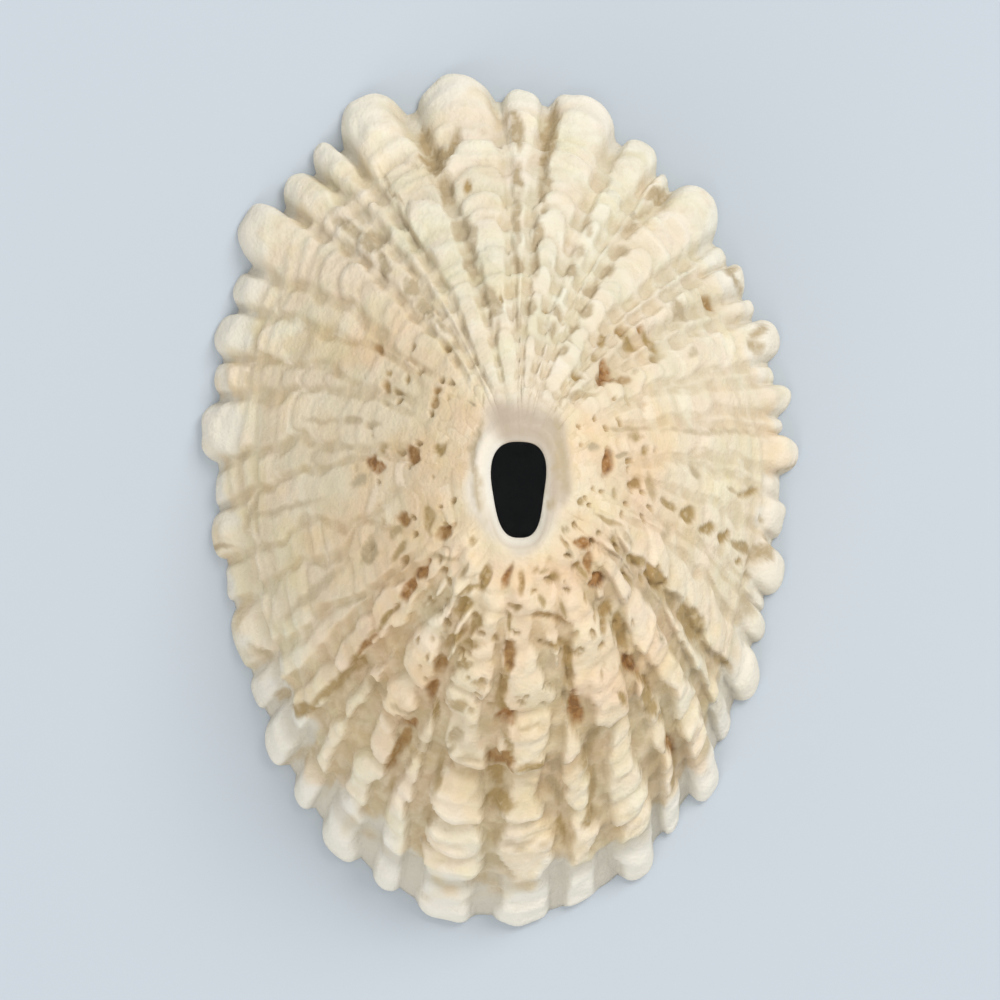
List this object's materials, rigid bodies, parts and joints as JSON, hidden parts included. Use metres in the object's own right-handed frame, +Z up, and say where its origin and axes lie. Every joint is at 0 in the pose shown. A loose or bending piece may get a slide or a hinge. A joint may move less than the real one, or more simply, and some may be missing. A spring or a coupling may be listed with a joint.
{
  "type": "keyhole limpet shell",
  "caption": "Oval conical sea shell with a keyhole opening at its top, beaded ribs running down to a knobbed margin, and a smooth hollow underneath.",
  "frame": {"origin": "middle of the shell's box, in the plane its margin rests on", "axes": "+Y along the length towards the broad end, +X across the width, +Z up through the keyhole"},
  "size_m": [0.0266, 0.038, 0.014],
  "materials": {
    "shell": "matt, chalky cream lime with tan grooves and a whiter edge"
  },
  "bodies": {
    "root": {"shell": "shell"}
  },
  "joints": []
}
